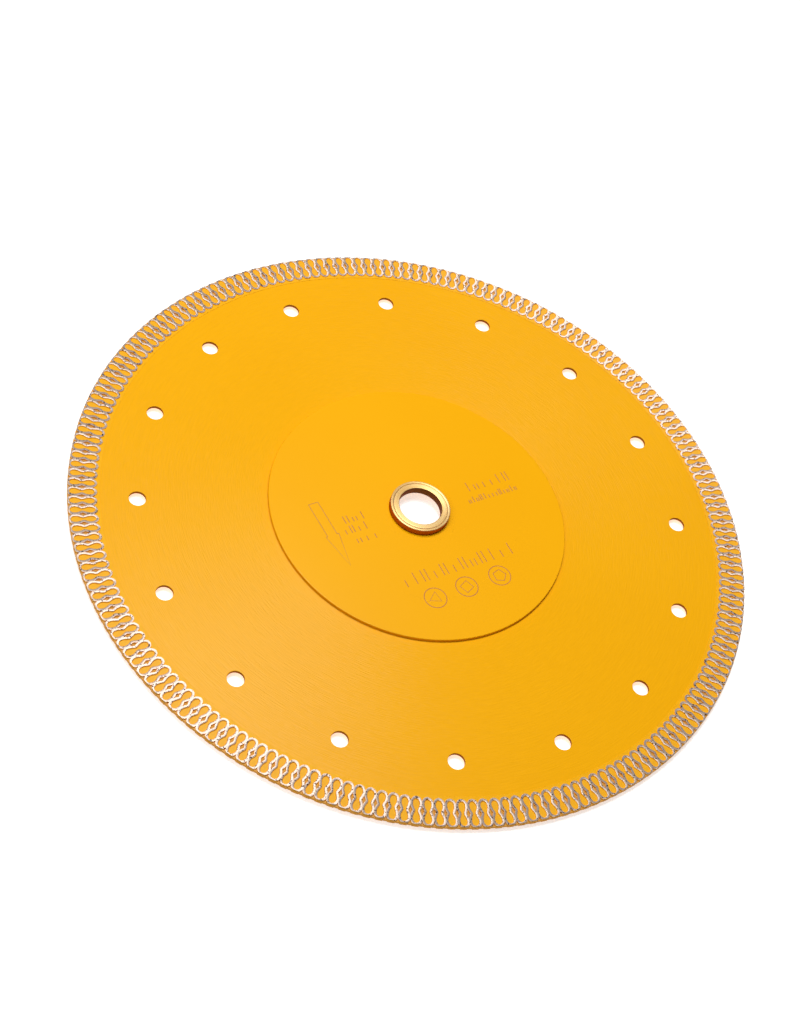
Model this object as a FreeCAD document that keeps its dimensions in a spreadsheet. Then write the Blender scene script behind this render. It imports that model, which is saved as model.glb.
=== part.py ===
import FreeCAD, Part
import math
import os
import Sketcher

# Continuous-rim diamond tile blade, lying flat, in millimetres.
# +Z is the blade's axis. The origin is the centre of the back flange's outer face,
# so the blade rests on Z = 0 and the two reducer rings stand up out of its front face.

SIZES = [
    # alias, value, what it is
    ("blade_diameter", 250.0, "over the diamond rim"),
    ("rim_height", 10.0, "radial height of the abrasive"),
    ("rim_thickness", 2.0, "across the rim's two faces"),
    ("land_width", 1.0, "plain band inside the abrasive"),
    ("land_step", 0.1, "how far that band stands above the core"),
    ("tongue", 1.5, "radial depth of the core's edge inside the rim"),
    ("core_thickness", 1.2, "steel core"),
    ("flange_diameter", 110.0, "reinforcing flange on each face"),
    ("flange_thickness", 1.2, "one flange"),
    ("flange_chamfer", 0.3, "outer edge of a flange"),
    ("hole_count", 16, "cooling holes in the core"),
    ("hole_diameter", 6.0, "one cooling hole"),
    ("hole_setback", 14.0, "from the abrasive's inner edge to the hole circle"),
    ("arbor_bore", 15.875, "bore of the inner reducer ring"),
    ("inner_ring_wall", 2.0325, "radial wall of the inner reducer ring"),
    ("outer_ring_wall", 1.085, "radial wall of the outer reducer ring"),
    ("ring_clearance", 0.03, "radial clearance of each push fit"),
    ("ring_inset", 0.2, "ring face below flange face when pushed home"),
    ("ring_engagement", 0.65, "length of ring still inside the bore as stored"),
    ("ring_edge", 0.3, "chamfer on the outer ring's outside edges"),
    ("seam_edge", 0.12, "chamfer on the edges where the two rings meet"),
    ("bore_edge", 0.2, "chamfer on the arbor bore's edges"),
]

# Sizes that follow from the ones above, so that mating pieces share them.
WORKED_OUT = [
    ("rim_bore", "=blade_diameter - 2 * rim_height"),
    ("land_bore", "=rim_bore - 2 * land_width"),
    ("core_diameter", "=land_bore + 2 * tongue"),
    ("land_thickness", "=core_thickness + 2 * land_step"),
    ("hub_thickness", "=core_thickness + 2 * flange_thickness"),
    ("mid_plane", "=hub_thickness / 2"),
    ("hole_circle", "=rim_bore - 2 * hole_setback"),
    ("inner_ring_diameter", "=arbor_bore + 2 * inner_ring_wall"),
    ("outer_ring_bore", "=inner_ring_diameter + 2 * ring_clearance"),
    ("outer_ring_diameter", "=outer_ring_bore + 2 * outer_ring_wall"),
    ("blade_bore", "=outer_ring_diameter + 2 * ring_clearance"),
    ("ring_length", "=hub_thickness - 2 * ring_inset"),
    ("ring_foot", "=hub_thickness - ring_engagement"),
]

doc = FreeCAD.newDocument("diamond_blade")
sheet = doc.addObject("Spreadsheet::Sheet", "sizes")


def fill_sheet():
    row = 1
    for alias, value, meaning in SIZES:
        sheet.set(f"A{row}", alias)
        sheet.set(f"B{row}", str(value))
        sheet.set(f"C{row}", meaning)
        sheet.setAlias(f"B{row}", alias)
        row += 1
    for alias, formula in WORKED_OUT:
        sheet.set(f"A{row}", alias)
        sheet.set(f"B{row}", formula)
        sheet.setAlias(f"B{row}", alias)
        doc.recompute()
        row += 1


def new_body(name):
    body = doc.addObject("PartDesign::Body", name)
    body.Label = name
    return body


def sketch_on_xy(body, name):
    plane = [p for p in body.Origin.OriginFeatures if p.Role == "XY_Plane"][0]
    sketch = body.newObject("Sketcher::SketchObject", name)
    sketch.AttachmentSupport = (plane, [""])
    sketch.MapMode = "FlatFace"
    return sketch


def centred_circle(sketch, constraint, alias):
    """A circle about the axis whose diameter is a cell of the sheet."""
    size = float(getattr(sheet, alias))
    circle = Part.Circle(FreeCAD.Vector(0, 0, 0), FreeCAD.Vector(0, 0, 1), size / 2)
    index = sketch.addGeometry(circle, False)
    sketch.addConstraint(Sketcher.Constraint("Coincident", index, 3, -1, 1))
    number = sketch.addConstraint(Sketcher.Constraint("Diameter", index, size))
    sketch.renameConstraint(number, constraint)
    sketch.setExpression(f"Constraints.{constraint}", f"sizes.{alias}")


def ring_pad(body, name, outside, inside, thickness, centred=False):
    """A flat ring between two diameters, rising from the body's XY plane or centred on it."""
    sketch = sketch_on_xy(body, f"{name}_outline")
    centred_circle(sketch, "outside", outside)
    centred_circle(sketch, "inside", inside)
    pad = body.newObject("PartDesign::Pad", name)
    pad.Profile = sketch
    pad.Midplane = centred
    pad.setExpression("Length", f"sizes.{thickness}")
    doc.recompute()
    return pad


def rim_edges(shape, diameter, heights):
    """Names of the full-circle edges of this diameter at these heights."""
    names = []
    for number, edge in enumerate(shape.Edges, start=1):
        if not isinstance(edge.Curve, Part.Circle):
            continue
        right_size = abs(edge.Curve.Radius * 2 - diameter) < 1e-6
        right_height = any(abs(edge.Curve.Center.z - z) < 1e-6 for z in heights)
        if right_size and right_height:
            names.append(f"Edge{number}")
    return names


def chamfer(body, name, base, diameter, heights, alias):
    """Break the circular edges of one diameter by a cell of the sheet."""
    feature = body.newObject("PartDesign::Chamfer", name)
    feature.Base = (base, rim_edges(base.Shape, float(getattr(sheet, diameter)), heights))
    feature.setExpression("Size", f"sizes.{alias}")
    doc.recompute()
    return feature


def steel_core():
    """Steel disc with the blade's bore; its edge is the tongue that the rim is sintered onto."""
    body = new_body("steel_core")
    ring_pad(body, "core_disc", "core_diameter", "blade_bore", "core_thickness")
    sketch = sketch_on_xy(body, "cooling_hole_outline")
    radius = float(sheet.hole_circle) / 2
    circle = Part.Circle(
        FreeCAD.Vector(radius, 0, 0), FreeCAD.Vector(0, 0, 1), float(sheet.hole_diameter) / 2
    )
    index = sketch.addGeometry(circle, False)
    sketch.addConstraint(Sketcher.Constraint("PointOnObject", index, 3, -1))
    reach = sketch.addConstraint(Sketcher.Constraint("DistanceX", -1, 1, index, 3, radius))
    sketch.renameConstraint(reach, "reach")
    sketch.setExpression("Constraints.reach", "sizes.hole_circle / 2")
    width = sketch.addConstraint(
        Sketcher.Constraint("Diameter", index, float(sheet.hole_diameter))
    )
    sketch.renameConstraint(width, "width")
    sketch.setExpression("Constraints.width", "sizes.hole_diameter")
    pocket = body.newObject("PartDesign::Pocket", "cooling_hole")
    pocket.Profile = sketch
    pocket.Reversed = True
    pocket.setExpression("Length", "sizes.core_thickness")
    doc.recompute()
    pattern = body.newObject("PartDesign::PolarPattern", "cooling_holes")
    pattern.Originals = [pocket]
    pattern.Axis = (sketch, ["N_Axis"])
    pattern.Angle = 360
    pattern.setExpression("Occurrences", "sizes.hole_count")
    body.Tip = pattern
    body.setExpression("Placement.Base.z", "sizes.flange_thickness")
    return body


def flange(name):
    """Reinforcing disc with its outer edge broken, drawn with the outer face upwards."""
    body = new_body(name)
    disc = ring_pad(body, f"{name}_disc", "flange_diameter", "blade_bore", "flange_thickness")
    heights = [float(sheet.flange_thickness)]
    chamfer(body, f"{name}_edge", disc, "flange_diameter", heights, "flange_chamfer")
    return body


def front_flange():
    body = flange("front_flange")
    body.setExpression("Placement.Base.z", "sizes.flange_thickness + sizes.core_thickness")
    return body


def back_flange():
    """The same disc turned over, so that its broken edge faces down."""
    body = flange("back_flange")
    turned = FreeCAD.Rotation(FreeCAD.Vector(1, 0, 0), 180)
    body.Placement = FreeCAD.Placement(FreeCAD.Vector(0, 0, 0), turned)
    body.setExpression("Placement.Base.z", "sizes.flange_thickness")
    return body


def diamond_rim():
    """Sintered ring that straddles the core's edge, with a plain land inside the abrasive."""
    body = new_body("diamond_rim")
    ring_pad(body, "land", "blade_diameter", "land_bore", "land_thickness", centred=True)
    ring_pad(body, "abrasive", "blade_diameter", "rim_bore", "rim_thickness", centred=True)
    sketch = sketch_on_xy(body, "core_groove_outline")
    centred_circle(sketch, "outside", "core_diameter")
    groove = body.newObject("PartDesign::Pocket", "core_groove")
    groove.Profile = sketch
    groove.Midplane = True
    groove.setExpression("Length", "sizes.core_thickness")
    body.setExpression("Placement.Base.z", "sizes.mid_plane")
    return body


def reducer_ring(name, outside, inside, outside_edge, inside_edge):
    """Turned ring, its four edges broken, standing part way out of the blade's bore."""
    body = new_body(name)
    turned = ring_pad(body, f"{name}_turned", outside, inside, "ring_length")
    ends = [0.0, float(sheet.ring_length)]
    outer = chamfer(body, f"{name}_outside_edges", turned, outside, ends, outside_edge)
    chamfer(body, f"{name}_inside_edges", outer, inside, ends, inside_edge)
    body.setExpression("Placement.Base.z", "sizes.ring_foot")
    return body


def check(bodies):
    """Stop if any feature failed or any piece isn't one valid solid of a sensible size."""
    for item in doc.Objects:
        if "Invalid" in item.State or "Error" in item.State:
            raise RuntimeError(f"{item.Label} failed: {item.State}")
    for body in bodies:
        shape = body.Shape
        if shape.isNull() or not shape.isValid() or len(shape.Solids) != 1:
            raise RuntimeError(f"{body.Label} isn't one valid solid")
    core = bodies[0].Shape
    annulus = math.pi / 4 * (sheet.core_diameter ** 2 - sheet.blade_bore ** 2)
    drilled = sheet.hole_count * math.pi / 4 * sheet.hole_diameter ** 2
    expected = (annulus - drilled) * sheet.core_thickness
    if abs(core.Volume - expected) > 0.001 * expected:
        raise RuntimeError("the cooling holes didn't cut the core")


fill_sheet()
doc.recompute()
pieces = [
    steel_core(),
    front_flange(),
    back_flange(),
    diamond_rim(),
    reducer_ring(
        "outer_reducer_ring", "outer_ring_diameter", "outer_ring_bore", "ring_edge", "seam_edge"
    ),
    reducer_ring(
        "inner_reducer_ring", "inner_ring_diameter", "arbor_bore", "seam_edge", "bore_edge"
    ),
]
doc.recompute()
check(pieces)

os.makedirs("parts", exist_ok=True)
for piece in pieces:
    piece.Shape.exportStep(f"parts/{piece.Label}.step")
    box = piece.Shape.BoundBox
    print(f"{piece.Label}: {piece.Shape.Volume:.1f} mm3, z {box.ZMin:.3f} to {box.ZMax:.3f}")
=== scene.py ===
import math
import random
import bmesh
import bpy
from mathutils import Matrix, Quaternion, Vector


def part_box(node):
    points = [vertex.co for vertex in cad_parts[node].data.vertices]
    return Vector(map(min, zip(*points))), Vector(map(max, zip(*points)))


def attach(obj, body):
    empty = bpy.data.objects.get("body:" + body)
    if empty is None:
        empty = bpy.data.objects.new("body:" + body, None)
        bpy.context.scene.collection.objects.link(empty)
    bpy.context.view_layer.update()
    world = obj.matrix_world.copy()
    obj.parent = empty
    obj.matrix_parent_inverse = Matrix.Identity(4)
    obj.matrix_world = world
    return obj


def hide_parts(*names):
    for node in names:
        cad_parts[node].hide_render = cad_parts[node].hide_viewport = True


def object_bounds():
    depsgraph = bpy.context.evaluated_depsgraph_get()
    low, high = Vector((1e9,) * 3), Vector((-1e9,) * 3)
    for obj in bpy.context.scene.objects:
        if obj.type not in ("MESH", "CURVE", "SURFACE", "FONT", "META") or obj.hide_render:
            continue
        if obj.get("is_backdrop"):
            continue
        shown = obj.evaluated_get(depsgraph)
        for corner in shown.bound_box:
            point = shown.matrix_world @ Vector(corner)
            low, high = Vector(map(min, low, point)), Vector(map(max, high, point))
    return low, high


# Diamond tile blade lying flat, +Z out of its front face, with two reducer rings standing out of the bore.
# Shapes are worked out in millimetres from the blade's axis and scaled to metres as they are made.

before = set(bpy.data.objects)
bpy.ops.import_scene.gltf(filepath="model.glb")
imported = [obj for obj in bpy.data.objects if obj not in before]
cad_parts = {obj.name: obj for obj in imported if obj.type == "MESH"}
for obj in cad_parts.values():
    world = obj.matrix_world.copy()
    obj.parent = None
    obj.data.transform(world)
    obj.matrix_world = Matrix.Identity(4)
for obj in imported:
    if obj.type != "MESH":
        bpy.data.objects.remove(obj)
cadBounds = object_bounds()
scene = bpy.context.scene
mm = 0.001


def hexColour(code):  # "#RRGGBB" in sRGB to the linear values that shaders take
    parts = [int(code[i:i + 2], 16) / 255 for i in (1, 3, 5)]
    linear = [c / 12.92 if c <= 0.04045 else ((c + 0.055) / 1.055) ** 2.4 for c in parts]
    return (*linear, 1.0)


def addNode(tree, kind, settings=None, links=None):
    # a key that names no socket sets the node itself, and a value such as "#FFAA00" is a colour
    node = tree.nodes.new(kind)
    for key, value in (settings or {}).items():
        if isinstance(value, str) and value.startswith("#"):
            value = hexColour(value)
        if isinstance(key, int) or key in node.inputs:
            node.inputs[key].default_value = value
        else:
            setattr(node, key, value)
    for key, source in (links or {}).items():
        tree.links.new(source, node.inputs[key])
    return node


def nodeSpan(name):  # low and high corners of a CAD node, in millimetres
    low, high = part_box(name)
    return Vector(low) / mm, Vector(high) / mm


coreLow, coreHigh = nodeSpan("steel_core")
rimLow, rimHigh = nodeSpan("diamond_rim")
flangeLow, flangeHigh = nodeSpan("front_flange")
outerLow, outerHigh = nodeSpan("outer_reducer_ring")
innerLow, innerHigh = nodeSpan("inner_reducer_ring")
midPlane = (coreLow.z + coreHigh.z) / 2
bladeRadius = min(-rimLow.x, -rimLow.y, rimHigh.x, rimHigh.y)


def addObject(name, mesh):
    obj = bpy.data.objects.new(name, mesh)
    scene.collection.objects.link(obj)
    return obj


def meshFrom(name, points, faces):  # points in millimetres
    mesh = bpy.data.meshes.new(name)
    mesh.from_pydata([[c * mm for c in p] for p in points], [], faces)
    return mesh


def outward(mesh):  # weld doubles, then point every face out of its closed shell
    weldWithin = 0.0005 * mm
    work = bmesh.new()
    work.from_mesh(mesh)
    bmesh.ops.remove_doubles(work, verts=work.verts, dist=weldWithin)
    bmesh.ops.recalc_face_normals(work, faces=work.faces)
    work.to_mesh(mesh)
    work.free()


def smoothTo(mesh, degrees):
    mesh.shade_smooth()
    mesh.set_sharp_from_angle(angle=math.radians(degrees))


def plainMesh(obj):  # what an object's modifiers or curves come to
    graph = bpy.context.evaluated_depsgraph_get()
    return bpy.data.meshes.new_from_object(obj.evaluated_get(graph), depsgraph=graph)


def settle(obj):  # the evaluated result becomes the object's own mesh, and the modifiers go
    mesh = plainMesh(obj)
    obj.modifiers.clear()
    obj.data = mesh


def weightNormals(obj):  # keeps wide flat faces flat next to their rounded edges
    modifier = obj.modifiers.new("normals", "WEIGHTED_NORMAL")
    modifier.keep_sharp = True
    settle(obj)


def newTree(name, inputs):  # a Geometry Nodes tree with named inputs and one geometry output
    tree = bpy.data.node_groups.new(name, "GeometryNodeTree")
    tree.interface.new_socket("Geometry", in_out="INPUT", socket_type="NodeSocketGeometry")
    for label, kind in inputs.items():
        tree.interface.new_socket(label, in_out="INPUT", socket_type="NodeSocket" + kind)
    tree.interface.new_socket("Geometry", in_out="OUTPUT", socket_type="NodeSocketGeometry")
    return tree


def runTree(obj, tree, values):
    modifier = obj.modifiers.new(tree.name, "NODES")
    modifier.node_group = tree
    for item in tree.interface.items_tree:
        if item.in_out == "INPUT" and item.name in values:
            modifier[item.identifier] = values[item.name]


def newMaterial(name):
    material = bpy.data.materials.new(name)
    material.use_nodes = True
    tree = material.node_tree
    return material, tree, tree.nodes["Principled BSDF"].inputs


def polar(tree):  # object position, distance from the blade's axis, and the direction away from it
    place = addNode(tree, "ShaderNodeTexCoord").outputs["Object"]
    flat = addNode(tree, "ShaderNodeVectorMath", {"operation": "MULTIPLY", 1: (1, 1, 0)}, {0: place})
    reach = addNode(tree, "ShaderNodeVectorMath", {"operation": "LENGTH"}, {0: flat.outputs[0]})
    away = addNode(tree, "ShaderNodeVectorMath", {"operation": "NORMALIZE"}, {0: flat.outputs[0]})
    return place, reach.outputs["Value"], away.outputs[0]


def roundLines(tree, reach, away, width, length, radius):
    # grinding or turning lines about the axis, 0 to 1: so wide, and so long at that radius, in mm
    across = addNode(tree, "ShaderNodeMath", {"operation": "MULTIPLY", 1: 1 / (width * mm)}, {0: reach})
    lift = addNode(tree, "ShaderNodeCombineXYZ", {}, {"Z": across.outputs[0]})
    along = addNode(tree, "ShaderNodeVectorMath", {"operation": "SCALE", "Scale": radius / length}, {0: away})
    place = addNode(tree, "ShaderNodeVectorMath", {"operation": "ADD"},
                    {0: along.outputs[0], 1: lift.outputs[0]})
    noise = addNode(tree, "ShaderNodeTexNoise", {"Scale": 1.0, "Detail": 2.0}, {"Vector": place.outputs[0]})
    # the noise keeps mostly between 0.3 and 0.7, so that is stretched to the full range
    spread = addNode(tree, "ShaderNodeMapRange", {"From Min": 0.3, "From Max": 0.7},
                     {"Value": noise.outputs[0]})
    return spread.outputs[0]


paint = {
    "colour": "#FFB708",
    "shade": "#FAB004",  # where the coat lies thicker
    "cloud": 60.0,  # mm across a patch of either
    "ior": 1.4,
    "specular": 0.22,
    "smoothRoughness": 0.24,  # over turned steel
    "groundRoughness": 0.3,  # over ground steel
    "wallRoughness": 0.9,
    "groundStretch": 0.5,  # how far ground steel draws the highlight out
    "lineWidth": 0.3,  # mm, drawn coarser than real grinding so that it shows
    "lineLength": 5.0,
    "lineRadius": 90.0,  # where a line has that length
    "lineDepth": 0.08,
    "lineShade": 0.95,  # brightness at the bottom of a line
    "peel": 0.9,  # mm, size of the sprayed film's ripple
    "peelDepth": 0.002,
    "bump": 0.5,
    "corner": 0.6,  # mm out from the flange over which the corner beside it is darkened as a painted shade
    "paintedCornerShade": 0.7,
    "paintedWallShade": "#9C5806",  # drilled walls and bore, coloured darker as a painted shade
    "wallFrom": 0.5,  # upright part of the normal where the painted wall shade starts
    "wallTo": 0.2,  # and where it is full
}


def sprayPaint(name, ground):
    # Satin golden spray paint. Ground steel under it telegraphs its grinding lines, which draw the
    # light out into a soft wedge; over the turned flanges it lies smooth.
    material, tree, shader = newMaterial(name)
    place, reach, away = polar(tree)
    cloud = addNode(tree, "ShaderNodeTexNoise", {"Scale": 1 / (paint["cloud"] * mm)}, {"Vector": place})
    colour = addNode(tree, "ShaderNodeMix", {"data_type": "RGBA", 6: paint["colour"], 7: paint["shade"]},
                     {0: cloud.outputs[0]}).outputs[2]
    peel = addNode(tree, "ShaderNodeTexNoise", {"Scale": 1 / (paint["peel"] * mm)}, {"Vector": place})
    bump = addNode(tree, "ShaderNodeBump", {"Strength": paint["bump"], "Distance": paint["peelDepth"] * mm},
                   {"Height": peel.outputs[0]})
    if ground:
        lines = roundLines(tree, reach, away, paint["lineWidth"], paint["lineLength"], paint["lineRadius"])
        # painted shade: a narrow ring of the core next to the flange is darkened, multiplied in with the
        # lines' colour
        corner = addNode(tree, "ShaderNodeMapRange", {
            "From Min": flangeHigh.x * mm, "From Max": (flangeHigh.x + paint["corner"]) * mm,
            "To Min": paint["paintedCornerShade"]}, {"Value": reach})
        darker = addNode(tree, "ShaderNodeMapRange", {"To Min": paint["lineShade"]},
                         {"Value": lines, "To Max": corner.outputs[0]})
        colour = addNode(tree, "ShaderNodeMix", {"data_type": "RGBA", "blend_type": "MULTIPLY", 0: 1.0},
                         {6: colour, 7: darker.outputs[0]}).outputs[2]
        bump = addNode(tree, "ShaderNodeBump",
                       {"Strength": paint["bump"], "Distance": paint["lineDepth"] * mm},
                       {"Height": lines, "Normal": bump.outputs[0]})
        shader["Anisotropic"].default_value = paint["groundStretch"]
        tree.links.new(away, shader["Tangent"])
        # painted shade: upright faces, the walls of the holes and the bore, are coloured a darker brown; the
        # same mask makes them rougher
        facing = addNode(tree, "ShaderNodeTexCoord").outputs["Normal"]
        upright = addNode(tree, "ShaderNodeSeparateXYZ", {}, {0: facing})
        flatness = addNode(tree, "ShaderNodeMath", {"operation": "ABSOLUTE"}, {0: upright.outputs["Z"]})
        wall = addNode(tree, "ShaderNodeMapRange",
                       {"From Min": paint["wallFrom"], "From Max": paint["wallTo"]},
                       {"Value": flatness.outputs[0]})
        colour = addNode(tree, "ShaderNodeMix", {"data_type": "RGBA", 7: paint["paintedWallShade"]},
                         {0: wall.outputs[0], 6: colour}).outputs[2]
        dull = addNode(tree, "ShaderNodeMapRange",
                       {"To Min": paint["groundRoughness"], "To Max": paint["wallRoughness"]},
                       {"Value": wall.outputs[0]})
        tree.links.new(dull.outputs[0], shader["Roughness"])
    else:
        shader["Roughness"].default_value = paint["smoothRoughness"]
    shader["IOR"].default_value = paint["ior"]
    shader["Specular IOR Level"].default_value = paint["specular"]
    tree.links.new(colour, shader["Base Color"])
    tree.links.new(bump.outputs[0], shader["Normal"])
    return material


sinter = {
    "bare": "#F4E0D0",
    "grit": "#C8B0A2",
    "pit": "#4A3A34",
    "paint": "#FFBE1C",
    "paintShade": "#F2AC14",
    "wall": "#CC8A08",  # worn paint on the outer wall, coloured darker as a painted shade
    "hollowShade": "#D8A04C",  # painted shade also in the notches and eyes between the ridges
    "wornTo": 0.9,  # mm above the mid-plane: higher is bare metal
    "wornBlend": 0.03,
    "hollowTo": 0.53,  # lower takes the painted shade
    "hollowBlend": (0.04, -0.02),  # from above that height to below it
    "wallBlend": (0.15, 0.05),  # in from the rim's edge
    "ragged": 0.07,  # how far the worn height wanders
    "raggedSize": 0.8,
    "patchSize": 2.0,  # of lighter and darker paint
    "gritSize": 0.28,
    "gritDepth": 0.02,
    "bump": 0.5,
    "pitSize": 0.6,
    "pitFrom": (0.6, 0.64),  # the noise above this is a pit
    "metallic": 0.6,  # of the bare ridges; the paint isn't metal
    "roughness": 0.5,
    "specular": 0.2,
    "stretch": 0.9,
}


def sinteredMetal():
    # Hot-pressed metal powder and diamond grit, dressed bare on the ridges: pale, matt and gritty, with
    # dark pits where grit has broken out. The paint is left in the hollows and on the outer wall.
    material, tree, shader = newMaterial("sinteredDiamondMetal")
    place, reach, away = polar(tree)
    parts = addNode(tree, "ShaderNodeSeparateXYZ", {}, {0: place})
    above = addNode(tree, "ShaderNodeMath", {"operation": "SUBTRACT", 1: midPlane * mm},
                    {0: parts.outputs["Z"]})
    level = addNode(tree, "ShaderNodeMath", {"operation": "ABSOLUTE"}, {0: above.outputs[0]})
    edge = addNode(tree, "ShaderNodeTexNoise", {"Scale": 1 / (sinter["raggedSize"] * mm), "Detail": 3.0},
                   {"Vector": place})
    worn = addNode(tree, "ShaderNodeMath", {"operation": "MULTIPLY_ADD", 1: sinter["ragged"] * mm},
                   {0: edge.outputs[0], 2: level.outputs[0]})
    wornTo = (sinter["wornTo"] + sinter["ragged"] / 2) * mm
    bare = addNode(tree, "ShaderNodeMapRange",
                   {"From Min": wornTo, "From Max": wornTo + sinter["wornBlend"] * mm},
                   {"Value": worn.outputs[0]}).outputs[0]
    grit = addNode(tree, "ShaderNodeTexNoise", {"Scale": 1 / (sinter["gritSize"] * mm)},
                   {"Vector": place}).outputs[0]
    metal = addNode(tree, "ShaderNodeMix", {"data_type": "RGBA", 6: sinter["bare"], 7: sinter["grit"]},
                    {0: grit})
    pits = addNode(tree, "ShaderNodeTexNoise", {"Scale": 1 / (sinter["pitSize"] * mm)}, {"Vector": place})
    pitted = addNode(tree, "ShaderNodeMapRange",
                     {"From Min": sinter["pitFrom"][0], "From Max": sinter["pitFrom"][1]},
                     {"Value": pits.outputs[0]})
    metal = addNode(tree, "ShaderNodeMix", {"data_type": "RGBA", 7: sinter["pit"]},
                    {0: pitted.outputs[0], 6: metal.outputs[2]})
    patch = addNode(tree, "ShaderNodeTexNoise", {"Scale": 1 / (sinter["patchSize"] * mm), "Detail": 3.0},
                    {"Vector": place})
    coat = addNode(tree, "ShaderNodeMix", {"data_type": "RGBA", 6: sinter["paint"], 7: sinter["paintShade"]},
                   {0: patch.outputs[0]})
    # painted shade: the paint low in the notches and eyes is coloured darker brown
    shallow, deep = (sinter["hollowTo"] * mm + step * mm for step in sinter["hollowBlend"])
    hollowShade = addNode(tree, "ShaderNodeMapRange", {"From Min": shallow, "From Max": deep},
                     {"Value": level.outputs[0]})
    coat = addNode(tree, "ShaderNodeMix", {"data_type": "RGBA", 7: sinter["hollowShade"]},
                   {0: hollowShade.outputs[0], 6: coat.outputs[2]})
    # painted shade: the paint on the rim's outer wall takes the darker wall colour
    inside, outside = (bladeRadius * mm - step * mm for step in sinter["wallBlend"])
    atEdge = addNode(tree, "ShaderNodeMapRange", {"From Min": inside, "From Max": outside}, {"Value": reach})
    coat = addNode(tree, "ShaderNodeMix", {"data_type": "RGBA", 7: sinter["wall"]},
                   {0: atEdge.outputs[0], 6: coat.outputs[2]})
    colour = addNode(tree, "ShaderNodeMix", {"data_type": "RGBA"},
                     {0: bare, 6: coat.outputs[2], 7: metal.outputs[2]})
    tree.links.new(colour.outputs[2], shader["Base Color"])
    metallic = addNode(tree, "ShaderNodeMath", {"operation": "MULTIPLY", 1: sinter["metallic"]}, {0: bare})
    tree.links.new(metallic.outputs[0], shader["Metallic"])
    shader["Roughness"].default_value = sinter["roughness"]
    shader["Specular IOR Level"].default_value = sinter["specular"]
    shader["Anisotropic"].default_value = sinter["stretch"]
    tree.links.new(away, shader["Tangent"])
    bump = addNode(tree, "ShaderNodeBump", {"Strength": sinter["bump"], "Distance": sinter["gritDepth"] * mm},
                   {"Height": grit})
    tree.links.new(bump.outputs[0], shader["Normal"])
    return material


brass = {
    "bright": "#FFDD9E",
    "line": "#EEBC70",
    # painted shade: the bore wall and the outer wall are coloured darker brown than the faces
    "paintedBoreShade": "#5C3000",
    "outerWall": "#B8680C",
    "glance": "#F0B060",  # reflections at a low angle stay golden
    "boreBlend": (0.12, 0.04),  # out from the bore, where the painted shade fades in
    "wallBlend": (0.08, 0.02),  # in from the outside, where the outer wall's painted shade fades in
    "lineWidth": 0.2,  # mm, drawn coarser than a real turning line
    "lineLength": 20.0,
    "lineDepth": 0.008,
    "bump": 0.4,
    "metallic": 0.7,
    "roughness": 0.45,
    "stretch": 0.5,
}


def turnedBrass():
    # Brass turned on a lathe: pale satin faces with fine rings round the axis. Its bore and outside walls
    # are coloured brown as a painted shade.
    material, tree, shader = newMaterial("turnedBrass")
    reach, away = polar(tree)[1:]
    lines = roundLines(tree, reach, away, brass["lineWidth"], brass["lineLength"], rings["outerWall"][0])
    face = addNode(tree, "ShaderNodeMix", {"data_type": "RGBA", 6: brass["line"], 7: brass["bright"]},
                   {0: lines})
    outOfBore, atBore = (rings["innerWall"][0] * mm + step * mm for step in brass["boreBlend"])
    boreShadeMask = addNode(tree, "ShaderNodeMapRange", {"From Min": outOfBore, "From Max": atBore},
                     {"Value": reach})
    offWall, atWall = (rings["outerWall"][1] * mm - step * mm for step in brass["wallBlend"])
    wallShadeMask = addNode(tree, "ShaderNodeMapRange", {"From Min": offWall, "From Max": atWall}, {"Value": reach})
    # painted shade on the bore and outer walls
    colour = addNode(tree, "ShaderNodeMix", {"data_type": "RGBA", 7: brass["paintedBoreShade"]},
                     {0: boreShadeMask.outputs[0], 6: face.outputs[2]})
    colour = addNode(tree, "ShaderNodeMix", {"data_type": "RGBA", 7: brass["outerWall"]},
                     {0: wallShadeMask.outputs[0], 6: colour.outputs[2]})
    tree.links.new(colour.outputs[2], shader["Base Color"])
    shader["Metallic"].default_value = brass["metallic"]
    shader["Roughness"].default_value = brass["roughness"]
    shader["Specular Tint"].default_value = hexColour(brass["glance"])
    shader["Anisotropic"].default_value = brass["stretch"]
    tree.links.new(away, shader["Tangent"])
    bump = addNode(tree, "ShaderNodeBump", {"Strength": brass["bump"], "Distance": brass["lineDepth"] * mm},
                   {"Height": lines})
    tree.links.new(bump.outputs[0], shader["Normal"])
    return material


etch = {
    "light": "#DE9040",
    "dark": "#A86018",
    "patchSize": 0.5,
    "roughness": 0.6,
}


def laserEtched():  # paint burnt back by a laser: dull, patchy and a little pink
    material, tree, shader = newMaterial("laserEtchedPaint")
    place = addNode(tree, "ShaderNodeTexCoord").outputs["Object"]
    patch = addNode(tree, "ShaderNodeTexNoise", {"Scale": 1 / (etch["patchSize"] * mm)}, {"Vector": place})
    colour = addNode(tree, "ShaderNodeMix", {"data_type": "RGBA", 6: etch["light"], 7: etch["dark"]},
                     {0: patch.outputs[0]})
    tree.links.new(colour.outputs[2], shader["Base Color"])
    shader["Roughness"].default_value = etch["roughness"]
    return material


rings = {  # stands here because the brass's painted wall shade is placed by these radii
    "outerWall": (10.0, 11.085),  # inside and outside radii
    "innerWall": (7.9375, 9.97),
    "outsideBreak": 0.3,  # broken edges
    "seamBreak": 0.14,
    "boreBreak": 0.22,
    "easing": 0.3,  # an outer break's middle is this part of it in from either face, which rounds it
    "steps": 160,
}
corePaint = sprayPaint("sprayPaintOverGroundSteel", True)
flangePaint = sprayPaint("sprayPaintSmooth", False)
rimMetal = sinteredMetal()
ringBrass = turnedBrass()
etched = laserEtched()
print("materials made")


core = {
    "radius": coreHigh.x,
    "bore": 11.115,
    "holes": 16,
    "holeRadius": 3.0,
    "holeCircle": 101.0,
    "edge": 0.12,  # softened by the paint
    "edgeSegments": 3,
    "rimSteps": 288,
    "boreSteps": 96,
    "holeSteps": 48,
    "weld": 0.001,
}


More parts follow.
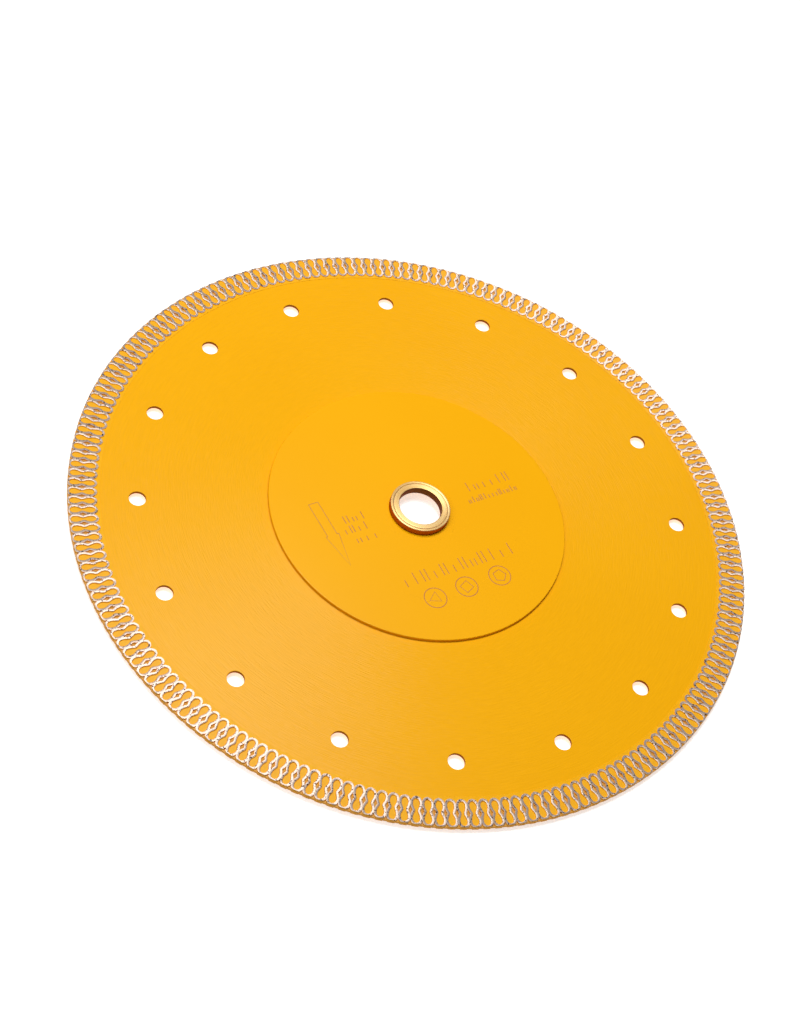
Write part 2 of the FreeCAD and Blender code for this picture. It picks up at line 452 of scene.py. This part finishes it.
def drilledDiscTree():
    tree = newTree("drilledDisc", {
        "Radius": "Float", "Bore": "Float", "Holes": "Int", "Hole Radius": "Float", "Hole Circle": "Float",
        "Thickness": "Float", "Foot": "Float", "Material": "Material"})
    given = addNode(tree, "NodeGroupInput").outputs
    edge = addNode(tree, "GeometryNodeCurvePrimitiveCircle", {"Resolution": core["rimSteps"]},
                   {"Radius": given["Radius"]})
    bore = addNode(tree, "GeometryNodeCurvePrimitiveCircle", {"Resolution": core["boreSteps"]},
                   {"Radius": given["Bore"]})
    hole = addNode(tree, "GeometryNodeCurvePrimitiveCircle", {"Resolution": core["holeSteps"]},
                   {"Radius": given["Hole Radius"]})
    places = addNode(tree, "GeometryNodeMeshCircle", {},
                     {"Vertices": given["Holes"], "Radius": given["Hole Circle"]})
    holes = addNode(tree, "GeometryNodeInstanceOnPoints", {},
                    {"Points": places.outputs[0], "Instance": hole.outputs[0]})
    cut = addNode(tree, "GeometryNodeRealizeInstances", {}, {0: holes.outputs[0]})
    outlines = addNode(tree, "GeometryNodeJoinGeometry")
    for curve in (edge, bore, cut):
        tree.links.new(curve.outputs[0], outlines.inputs[0])
    sheet = addNode(tree, "GeometryNodeFillCurve", {"mode": "NGONS"}, {0: outlines.outputs[0]})
    up = addNode(tree, "ShaderNodeCombineXYZ", {}, {"Z": given["Thickness"]})
    body = addNode(tree, "GeometryNodeExtrudeMesh", {"Individual": False},
                   {"Mesh": sheet.outputs[0], "Offset": up.outputs[0]})
    under = addNode(tree, "GeometryNodeFlipFaces", {}, {0: sheet.outputs[0]})
    both = addNode(tree, "GeometryNodeJoinGeometry")
    tree.links.new(body.outputs[0], both.inputs[0])
    tree.links.new(under.outputs[0], both.inputs[0])
    closed = addNode(tree, "GeometryNodeMergeByDistance", {"Distance": core["weld"] * mm},
                     {0: both.outputs[0]})
    foot = addNode(tree, "ShaderNodeCombineXYZ", {}, {"Z": given["Foot"]})
    placed = addNode(tree, "GeometryNodeTransform", {},
                     {0: closed.outputs[0], "Translation": foot.outputs[0]})
    real = addNode(tree, "GeometryNodeRealizeInstances", {}, {0: placed.outputs[0]})
    faced = addNode(tree, "GeometryNodeSetMaterial", {}, {0: real.outputs[0], "Material": given["Material"]})
    addNode(tree, "NodeGroupOutput", {}, {0: faced.outputs[0]})
    return tree


def makeCore():
    obj = addObject("coreDisc", bpy.data.meshes.new("coreDisc"))
    runTree(obj, drilledDiscTree(), {
        "Radius": core["radius"] * mm, "Bore": core["bore"] * mm, "Holes": core["holes"],
        "Hole Radius": core["holeRadius"] * mm, "Hole Circle": core["holeCircle"] * mm,
        "Thickness": (coreHigh.z - coreLow.z) * mm, "Foot": coreLow.z * mm, "Material": corePaint})
    settle(obj)
    outward(obj.data)
    bevel = obj.modifiers.new("softEdges", "BEVEL")
    bevel.width = core["edge"] * mm
    bevel.segments = core["edgeSegments"]
    bevel.limit_method = "ANGLE"
    bevel.angle_limit = math.radians(60)
    settle(obj)
    smoothTo(obj.data, 50)
    weightNormals(obj)
    return obj


coreDisc = makeCore()
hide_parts("steel_core")
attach(coreDisc, "blade")
print("core drilled")


def turned(name, profile, segments):  # profile is a closed loop of (radius, height), in millimetres
    points = []
    faces = []
    count = len(profile)
    for step in range(segments):
        angle = 2 * math.pi * step / segments
        points += [(r * math.cos(angle), r * math.sin(angle), z) for r, z in profile]
        ahead = (step + 1) % segments
        for i in range(count):
            j = (i + 1) % count
            faces.append((step * count + i, ahead * count + i, ahead * count + j, step * count + j))
    mesh = meshFrom(name, points, faces)
    outward(mesh)
    smoothTo(mesh, 50)
    obj = addObject(name, mesh)
    weightNormals(obj)
    return obj


def arc(centre, radius, start, end, steps):  # points of an arc in the profile's plane, angles in degrees
    points = []
    for step in range(steps + 1):
        angle = math.radians(start + (end - start) * step / steps)
        points.append((centre[0] + radius * math.cos(angle), centre[1] + radius * math.sin(angle)))
    return points


flange = {
    "radius": 55.0,
    "bore": core["bore"],
    "edge": 0.28,
    "edgeSteps": 6,
    "boreEdge": 0.12,
    "boreEdgeSteps": 3,
    "steps": 256,
}


def flangeProfile(low, high, faceUp):
    edge, soft = flange["edge"], flange["boreEdge"]
    profile = arc((flange["radius"] - edge, high - edge), edge, 0, 90, flange["edgeSteps"])
    profile += arc((flange["bore"] + soft, high - soft), soft, 90, 180, flange["boreEdgeSteps"])
    profile += [(flange["bore"], low), (flange["radius"], low)]
    if not faceUp:
        profile = [(r, low + high - z) for r, z in profile]
    return profile


def makeFlanges():
    thickness = flangeHigh.z - flangeLow.z
    for name, node, low, faceUp in (("frontFlangeDisc", "front_flange", flangeLow.z, True),
                                    ("backFlangeDisc", "back_flange", coreLow.z - thickness, False)):
        disc = turned(name, flangeProfile(low, low + thickness, faceUp), flange["steps"])
        disc.data.materials.append(flangePaint)
        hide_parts(node)
        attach(disc, "blade")


def ringProfile(wall, span, breaks):  # a rectangle with its corners broken
    inside, outside = wall
    low, high = span
    innerBreak, outerBreak = breaks
    eased = outerBreak * rings["easing"]
    return [(outside, low + outerBreak), (outside, high - outerBreak),
            (outside - eased, high - eased), (outside - outerBreak, high),
            (inside + innerBreak, high), (inside, high - innerBreak),
            (inside, low + innerBreak), (inside + innerBreak, low),
            (outside - outerBreak, low), (outside - eased, low + eased)]


def makeRing(name, node, body, profile):
    ring = turned(name, profile, rings["steps"])
    ring.data.materials.append(ringBrass)
    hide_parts(node)
    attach(ring, body)


def makeRings():
    outer = ringProfile(rings["outerWall"], (outerLow.z, outerHigh.z),
                        (rings["seamBreak"], rings["outsideBreak"]))
    inner = ringProfile(rings["innerWall"], (innerLow.z, innerHigh.z),
                        (rings["boreBreak"], rings["seamBreak"]))
    makeRing("outerRingTurned", "outer_reducer_ring", "outer_ring", outer)
    makeRing("innerRingTurned", "inner_reducer_ring", "inner_ring", inner)


makeFlanges()
makeRings()
print("flanges and rings turned")


rim = {
    "cells": 195,
    "turn": 0.575,  # degrees from +X to the middle of the first recess
    "middle": 120.1,  # radius of the recess's waist
    "focus": 3.09,  # half the distance between the oval's two foci
    "pinch": 3.146,  # just over focus: the more, the wider the waist
    "narrow": 0.76,  # recess width against a true Cassini oval
    "traceSteps": 720,  # fine steps down one side of a recess
    "samples": 18,  # and the even ones that its mesh takes from them
    "floorIn": -0.14,  # distances out from the recess's outline
    "shoulderOut": 0.0,
    "crest": 0.12,
    "band": 0.84,  # width of the ridge round a recess
    "waistThin": 0.05,  # and how much less it is at the waist
    "waistReach": 1.3,
    "footOut": 0.06,  # from a ridge's edge to its foot
    "gap": 0.03,  # ridges closer than this to the line between two cells are joined
    "lip": 1.05,  # half the width over which a ridge's outer end meets the rim's edge
    "floor": 0.56,  # heights above the mid-plane
    "shoulder": 0.95,
    "valley": 0.97,
    "base": 0.64,
    "notchBase": 0.46,  # between two outer ends
    "eyeBase": 0.46,  # between two waists
    "eyeReach": 2.0,
    "land": 0.7,
    "groove": 0.6,
    "landBore": 114.0,
    "grooveBore": 115.5,
    "edgeDrop": 0.16,  # the outer edge's rounding
    "edgeWidth": 0.12,
    "wobble": 0.3,  # widest swing of the ridges from side to side
    "wobbleSize": 1.6,  # and over what length
    "wobbleFrom": 114.5,  # only between these radii
    "wobbleTo": 124.8,
    "wobbleSeed": 3.0,
    "weld": 0.002,
}


def recessSide(size):  # one side of a recess, outer end to inner end: a Cassini oval, evenly spaced
    dense = []
    last = size["traceSteps"]
    for step in range(last + 1):
        turn = math.pi * step / last
        inside = math.sqrt(size["pinch"] ** 4 - (size["focus"] ** 2 * math.sin(2 * turn)) ** 2)
        reach = math.sqrt(size["focus"] ** 2 * math.cos(2 * turn) + inside)
        dense.append(Vector((size["narrow"] * reach * math.sin(turn), reach * math.cos(turn))))
    travelled = [0.0]
    for a, b in zip(dense, dense[1:]):
        travelled.append(travelled[-1] + (b - a).length)
    side = []
    for pick in range(size["samples"] + 1):
        wanted = travelled[-1] * pick / size["samples"]
        i = min(range(last + 1), key=lambda n: abs(travelled[n] - wanted))
        ahead, behind = dense[min(i + 1, last)], dense[max(i - 1, 0)]
        along = (ahead - behind).normalized()
        side.append((dense[i], Vector((-along.y, along.x))))
    side[0] = (Vector((0, dense[0].y)), Vector((0, 1)))
    side[-1] = (Vector((0, dense[-1].y)), Vector((0, -1)))
    return side


def ridgeEdge(point, normal, size, half, rimEdge):  # where the ridge round a recess ends, at one point of it
    thin = size["waistThin"] * max(0.0, 1 - abs(point.y) / size["waistReach"])
    reach = size["band"] - thin
    if point.x + reach * normal.x > half - size["gap"]:  # it meets its neighbour
        reach = (half - point.x) / normal.x
    if point.y + reach * normal.y > rimEdge:
        reach = (rimEdge - point.y) / normal.y
    return point + normal * reach


def footHeight(point, size):  # how high the ground lies outside the ridge
    if abs(point.y) < size["eyeReach"]:
        return size["eyeBase"]
    return size["notchBase"] if point.y > 0 else size["base"]


def ridgeRows(size, half, wallAt, top, add):
    # a row of points for each step down a recess's side, from its floor over the ridge to the ridge's foot,
    # and for each whether the ridge stands clear of its neighbour there
    rimEdge = wallAt - size["edgeWidth"]
    side = recessSide(size)
    edges = [ridgeEdge(point, normal, size, half, rimEdge) for point, normal in side]
    edges[0], edges[1] = Vector((0, rimEdge)), Vector((size["lip"], rimEdge))
    free = [False, False] + [half - edge.x > size["gap"] / 2 for edge in edges[2:]]
    rows = []
    for i, (point, normal) in enumerate(side):
        low, shoulder, crest = (point + normal * size[k] for k in ("floorIn", "shoulderOut", "crest"))
        edge = edges[i]
        base = footHeight(point, size)
        row = {"floor": add(max(low.x, 0), low.y, size["floor"]),
               "shoulder": add(shoulder.x, shoulder.y, size["shoulder"]),
               "crest": add(crest.x, crest.y, top),
               "valley": add(edge.x, edge.y, size["valley"])}
        if i < 2:  # the first two rows run out to the rim's edge
            row["lip"] = add(edge.x, wallAt, top - size["edgeDrop"])
            row["wall"] = add(edge.x, wallAt, 0)
        if i == 1:
            row["foot"] = add(edge.x, wallAt, base)
        elif free[i]:
            foot = edge + normal * size["footOut"]
            row["foot"] = add(min(foot.x, half - size["gap"] / 2), min(foot.y, wallAt), base)
        elif any(free[max(i - 1, 0):i + 2]):
            row["foot"] = add(edge.x, edge.y, base)
        rows.append(row)
    return rows, free


def ridgeFaces(rows, free):  # strips down the recess's side, and its floor
    faces = []
    for i in range(len(rows) - 1):
        here, ahead = rows[i], rows[i + 1]
        strips = [("floor", "shoulder"), ("shoulder", "crest"), ("crest", "valley")]
        if i > 1 and (free[i] or free[i + 1]):
            strips.append(("valley", "foot"))
        for a, b in strips:
            faces.append((here[a], here[b], ahead[b], ahead[a]))
    faces.append([row["floor"] for row in rows])
    return faces


def outerEndFaces(rows, corner, cornerWall):  # where the ridge meets the rim's edge, and the wall below
    middle, end, notch = rows[:3]
    return [(middle["valley"], middle["lip"], end["lip"], end["valley"]),
            (middle["lip"], middle["wall"], end["wall"], end["foot"], end["lip"]),
            (end["valley"], end["lip"], end["foot"], notch["foot"], notch["valley"]),
            (end["foot"], end["wall"], cornerWall, corner)]


def groundFaces(rows, free, corner, landEdge):  # outside the ridge: the notch, the eye and the land
    notchEnd = free.index(False, 2)
    eyeStart = free.index(True, notchEnd) - 1
    eyeEnd = free.index(False, eyeStart + 1)
    landStart = free.index(True, eyeEnd) - 1
    return [[row["foot"] for row in rows[1:notchEnd + 1]] + [corner],
            [row["foot"] for row in rows[eyeStart:eyeEnd + 1]],
            [row["foot"] for row in rows[landStart:]] + landEdge]


def rimQuarter(size, outer, top):  # points and faces of half of one cell, above the mid-plane
    # x runs along the rim and y out from the recess's waist, until add turns them about the blade's axis
    half = math.pi * size["middle"] / size["cells"]
    wallAt = outer - size["middle"]
    points = []

    def add(x, y, z):
        angle, radius = x / size["middle"], size["middle"] + y
        points.append((radius * math.cos(angle), radius * math.sin(angle), z))
        return len(points) - 1

    rows, free = ridgeRows(size, half, wallAt, top, add)
    corner, cornerWall = add(half, wallAt, size["notchBase"]), add(half, wallAt, 0)
    landAt, grooveAt = (size[k] - size["middle"] for k in ("landBore", "grooveBore"))
    steps = [(landAt, size["land"]), (landAt, size["groove"]), (grooveAt, size["groove"]), (grooveAt, 0)]
    inner = [[add(x, y, z) for x in (0, half)] for y, z in steps]
    faces = ridgeFaces(rows, free) + outerEndFaces(rows, corner, cornerWall)
    faces += groundFaces(rows, free, corner, inner[0])
    faces += [(a, b, d, c) for (a, b), (c, d) in zip(inner, inner[1:])]
    return points, faces


def rimTree():
    tree = newTree("meshRim", {
        "Cells": "Int", "Turn": "Float", "Weld": "Float", "Wobble": "Float", "Wobble Scale": "Float",
        "Inside": "Float", "Outside": "Float", "Height": "Float", "Seed": "Float", "Material": "Material"})
    given = addNode(tree, "NodeGroupInput").outputs
    cell = given["Geometry"]
    for scale in ((1, -1, 1), (1, 1, -1)):  # the quarter, then the half, beside its mirror image
        mirrored = addNode(tree, "GeometryNodeTransform", {"Scale": scale}, {0: cell})
        both = addNode(tree, "GeometryNodeJoinGeometry", {}, {0: cell})
        tree.links.new(mirrored.outputs[0], both.inputs[0])
        cell = both.outputs[0]
    step = addNode(tree, "ShaderNodeMath", {"operation": "DIVIDE", 0: 2 * math.pi}, {1: given["Cells"]})
    index = addNode(tree, "GeometryNodeInputIndex")
    angle = addNode(tree, "ShaderNodeMath", {"operation": "MULTIPLY_ADD"},
                    {0: index.outputs[0], 1: step.outputs[0], 2: given["Turn"]})
    spin = addNode(tree, "ShaderNodeCombineXYZ", {}, {"Z": angle.outputs[0]})
    points = addNode(tree, "GeometryNodePoints", {}, {"Count": given["Cells"]})
    ring = addNode(tree, "GeometryNodeInstanceOnPoints", {},
                   {"Points": points.outputs[0], "Instance": cell, "Rotation": spin.outputs[0]})
    real = addNode(tree, "GeometryNodeRealizeInstances", {}, {0: ring.outputs[0]})
    whole = addNode(tree, "GeometryNodeMergeByDistance", {}, {0: real.outputs[0], "Distance": given["Weld"]})

    place = addNode(tree, "GeometryNodeInputPosition").outputs[0]
    flat = addNode(tree, "ShaderNodeVectorMath", {"operation": "MULTIPLY", 1: (1, 1, 0)}, {0: place})
    reach = addNode(tree, "ShaderNodeVectorMath", {"operation": "LENGTH"}, {0: flat.outputs[0]})
    beyond = addNode(tree, "FunctionNodeCompare", {"operation": "GREATER_THAN"},
                     {0: reach.outputs["Value"], 1: given["Inside"]})
    within = addNode(tree, "FunctionNodeCompare", {"operation": "LESS_THAN"},
                     {0: reach.outputs["Value"], 1: given["Outside"]})
    pattern = addNode(tree, "FunctionNodeBooleanMath", {"operation": "AND"},
                      {0: beyond.outputs[0], 1: within.outputs[0]})
    noise = addNode(tree, "ShaderNodeTexNoise", {"noise_dimensions": "4D", "Detail": 1.0},
                    {"Vector": place, "W": given["Seed"], "Scale": given["Wobble Scale"]})
    centred = addNode(tree, "ShaderNodeVectorMath", {"operation": "SUBTRACT", 1: (0.5, 0.5, 0.5)},
                      {0: noise.outputs["Color"]})
    sideways = addNode(tree, "ShaderNodeVectorMath", {"operation": "MULTIPLY", 1: (1, 1, 0)},
                       {0: centred.outputs[0]})
    shift = addNode(tree, "ShaderNodeVectorMath", {"operation": "SCALE"},
                    {0: sideways.outputs[0], "Scale": given["Wobble"]})
    wobbled = addNode(tree, "GeometryNodeSetPosition", {},
                      {0: whole.outputs[0], "Selection": pattern.outputs[0], "Offset": shift.outputs[0]})

    lift = addNode(tree, "ShaderNodeCombineXYZ", {}, {"Z": given["Height"]})
    placed = addNode(tree, "GeometryNodeTransform", {},
                     {0: wobbled.outputs[0], "Translation": lift.outputs[0]})
    finished = addNode(tree, "GeometryNodeRealizeInstances", {}, {0: placed.outputs[0]})
    faced = addNode(tree, "GeometryNodeSetMaterial", {},
                    {0: finished.outputs[0], "Material": given["Material"]})
    addNode(tree, "NodeGroupOutput", {}, {0: faced.outputs[0]})
    return tree


def makeRim():
    points, faces = rimQuarter(rim, bladeRadius, (rimHigh.z - rimLow.z) / 2)
    obj = addObject("meshRim", meshFrom("meshRim", points, faces))
    runTree(obj, rimTree(), {
        "Cells": rim["cells"], "Turn": math.radians(rim["turn"]), "Weld": rim["weld"] * mm,
        "Wobble": rim["wobble"] * mm, "Wobble Scale": 1 / (rim["wobbleSize"] * mm),
        "Inside": rim["wobbleFrom"] * mm, "Outside": rim["wobbleTo"] * mm,
        "Height": midPlane * mm, "Seed": rim["wobbleSeed"], "Material": rimMetal})
    settle(obj)
    outward(obj.data)
    smoothTo(obj.data, 50)
    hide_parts("diamond_rim")
    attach(obj, "blade")
    work = bmesh.new()
    work.from_mesh(obj.data)
    openEdges = sum(1 for e in work.edges if len(e.link_faces) != 2)
    work.free()
    print("rim made of", len(obj.data.polygons), "faces, edges not shared by two faces:", openEdges)


makeRim()


marks = {
    "line": 0.34,  # stroke width
    "raise": 0.03,  # height above the flange
    "arrowTail": (0.6, 39.0),
    "arrowTip": (-25.4, 28.0),
    "arrowShaft": 3.8,
    "arrowHead": 5.2,
    "arrowHeadLength": 13.6,
    "rowAlong": (0.366, -0.931),
    "roundels": ((-37.7, -1.1), (-32.5, -13.3), (-27.2, -26.3)),
    "roundelRadius": 4.1,
    "roundelSteps": 40,
    "emblem": 0.62,  # the plain polygon in a roundel, against the roundel
    "pairedAside": 0.22,  # half the distance between the two bars of a pair, against the pitch
    "shortBar": 0.6,
    "seed": 11,
}
tickRows = [  # start of the row's middle line, tick height, pitch and count
    {"start": (-6.4, 29.2), "height": 3.2, "pitch": 3.3, "ticks": 3},
    {"start": (-11.2, 29.6), "height": 3.2, "pitch": 2.7, "ticks": 4},
    {"start": (-14.6, 25.4), "height": 3.2, "pitch": 3.3, "ticks": 3},
    {"start": (-32.0, 10.9), "height": 5.0, "pitch": 4.0, "ticks": 12},
    {"start": (10.9, -18.5), "height": 4.0, "pitch": 3.3, "ticks": 6},
    {"start": (5.1, -19.2), "height": 2.6, "pitch": 1.65, "ticks": 13},
]


def arrowOutline(size):
    tail, tip = Vector(size["arrowTail"]), Vector(size["arrowTip"])
    along = (tip - tail).normalized()
    across = Vector((-along.y, along.x))
    neck = tip - along * size["arrowHeadLength"]
    shaft, head = across * size["arrowShaft"] / 2, across * size["arrowHead"] / 2
    return [tail + shaft, neck + shaft, neck + head, tip, neck - head, neck - shaft, tail - shaft]


def circle(centre, radius, steps):
    return [Vector(centre) + Vector((radius * math.cos(2 * math.pi * i / steps),
                                     radius * math.sin(2 * math.pi * i / steps))) for i in range(steps)]


def tickStrokes(row, along, rng):  # upright bars, tall, short or in pairs, never letters
    across = Vector((-along.y, along.x))
    strokes = []
    for n in range(row["ticks"]):
        centre = Vector(row["start"]) + along * row["pitch"] * (n + 0.5)
        aside = along * row["pitch"] * rng.choice((0.0, marks["pairedAside"]))
        foot = centre - across * row["height"] / 2
        top = foot + across * row["height"] * rng.choice((marks["shortBar"], 1.0))
        strokes.append(([foot - aside, top - aside], False))
        if aside.length > 0:
            strokes.append(([foot + aside, top + aside], False))
    return strokes


def markStrokes():  # lists of points, each with whether it closes on itself
    rng = random.Random(marks["seed"])
    strokes = [(arrowOutline(marks), True)]
    for n, centre in enumerate(marks["roundels"]):
        strokes.append((circle(centre, marks["roundelRadius"], marks["roundelSteps"]), True))
        strokes.append((circle(centre, marks["roundelRadius"] * marks["emblem"], 3 + n), True))
    for row in tickRows:
        strokes += tickStrokes(row, Vector(marks["rowAlong"]).normalized(), rng)
    return strokes


def makeMarks():
    curve = bpy.data.curves.new("etchedMarks", "CURVE")
    curve.dimensions = "3D"
    curve.bevel_depth = marks["line"] / 2 * mm
    curve.bevel_resolution = 1
    curve.use_fill_caps = True
    for points, closed in markStrokes():
        spline = curve.splines.new("POLY")
        spline.points.add(len(points) - 1)
        for target, p in zip(spline.points, points):
            target.co = (p.x * mm, p.y * mm, 0, 1)
        spline.use_cyclic_u = closed
    obj = addObject("etchedCurve", curve)
    mesh = plainMesh(obj)
    bpy.data.objects.remove(obj)
    flatten = marks["raise"] / (marks["line"] / 2)
    for v in mesh.vertices:
        v.co.z = flangeHigh.z * mm + v.co.z * flatten
    outward(mesh)
    mesh.materials.clear()
    mesh.materials.append(etched)
    piece = addObject("etchedMarks", mesh)
    smoothTo(mesh, 60)
    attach(piece, "blade")


makeMarks()
print("marks etched")


studio = {  # metres, degrees and watts; the lens is in millimetres
    "cameraPlace": (-0.37276, 0.17899, 0.50541),
    "cameraAim": (0.00248, 0.00634, 0.0018),
    "cameraRoll": 22.37,
    "lens": 64.2,
    "floor": 40.0,
    "floorDrop": 0.0001,  # keeps it clear of the blade's back face
    "floorColour": "#F1F1F1",
    "floorRoughness": 0.9,
    "floorGlow": 0.55,  # a lit table, so that it stays white under the blade
    "keyAzimuth": 8.0,
    "keyHeight": 74.0,
    "keyDistance": 1.1,
    "keySize": 0.5,
    "keyPower": 9.9,
    "fillPlace": (-0.1, 0.9, 1.1),
    "fillSize": 0.8,
    "fillPower": 4.0,
    "worldPower": 0.12,
}


def aimed(place, aim, roll=0.0):  # looks from place to aim, rolled anticlockwise as seen from behind
    turn = (Vector(aim) - Vector(place)).to_track_quat("-Z", "Y")
    return turn @ Quaternion((0, 0, 1), math.radians(roll))


def makeCamera():
    data = bpy.data.cameras.new("camera")
    data.lens = studio["lens"]
    camera = addObject("camera", data)
    camera.location = studio["cameraPlace"]
    camera.rotation_mode = "QUATERNION"
    camera.rotation_quaternion = aimed(studio["cameraPlace"], studio["cameraAim"], studio["cameraRoll"])
    scene.camera = camera


def areaLight(name, place, size, power):
    data = bpy.data.lights.new(name, "AREA")
    data.shape = "SQUARE"
    data.size = size
    data.energy = power
    light = addObject(name, data)
    light.location = place
    light.rotation_mode = "QUATERNION"
    light.rotation_quaternion = aimed(place, (0, 0, 0))


def makeFloor():
    half = studio["floor"] / 2
    square = [(-half, -half, 0), (half, -half, 0), (half, half, 0), (-half, half, 0)]
    mesh = bpy.data.meshes.new("floor")
    mesh.from_pydata(square, [], [(0, 1, 2, 3)])
    floor = addObject("floor", mesh)
    floor.location.z = -studio["floorDrop"]
    material, _, shader = newMaterial("mattWhiteBoard")
    shader["Base Color"].default_value = hexColour(studio["floorColour"])
    shader["Roughness"].default_value = studio["floorRoughness"]
    shader["Emission Color"].default_value = hexColour("#FFFFFF")
    shader["Emission Strength"].default_value = studio["floorGlow"]
    mesh.materials.append(material)
    floor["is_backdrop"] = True


def makeStudio():
    makeFloor()
    azimuth, height = math.radians(studio["keyAzimuth"]), math.radians(studio["keyHeight"])
    toKey = Vector((math.cos(azimuth) * math.cos(height), math.sin(azimuth) * math.cos(height),
                    math.sin(height)))
    areaLight("keySoftbox", toKey * studio["keyDistance"], studio["keySize"], studio["keyPower"])
    areaLight("fillSoftbox", studio["fillPlace"], studio["fillSize"], studio["fillPower"])
    world = bpy.data.worlds.new("studio")
    world.use_nodes = True
    background = world.node_tree.nodes["Background"].inputs
    background["Color"].default_value = (1, 1, 1, 1)
    background["Strength"].default_value = studio["worldPower"]
    scene.world = world
    scene.view_settings.view_transform = "Standard"


makeCamera()
makeStudio()
print("studio set")

corners = {"cad": cadBounds, "visual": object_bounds()}
{name: [list(low), list(high)] for name, (low, high) in corners.items()}
